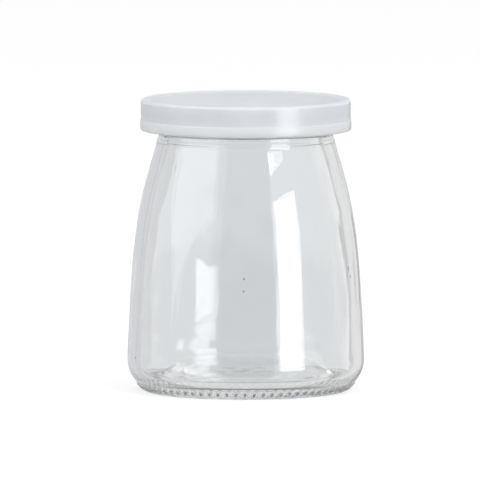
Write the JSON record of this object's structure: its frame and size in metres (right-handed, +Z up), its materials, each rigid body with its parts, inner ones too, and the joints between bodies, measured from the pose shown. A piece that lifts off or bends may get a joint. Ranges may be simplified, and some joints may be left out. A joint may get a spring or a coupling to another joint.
{
  "type": "glass jar with lid",
  "caption": "Clear glass jar with a rounded shoulder, a wide mouth and a milky press-on plastic lid.",
  "frame": {"origin": "centre of the jar's foot, on the plane it stands on", "axes": "+Z up along the jar's axis, towards the lid; X and Y are equal, because both pieces are turned shapes"},
  "size_m": [0.07, 0.07, 0.0862],
  "materials": {
    "clear_glass": "clear moulded soda-lime glass, glossy, faintly wavy",
    "milky_plastic": "milky, slightly see-through soft polyethylene with a satin sheen"
  },
  "bodies": {
    "root": {"jar": "clear_glass", "lid": "milky_plastic"}
  },
  "joints": []
}
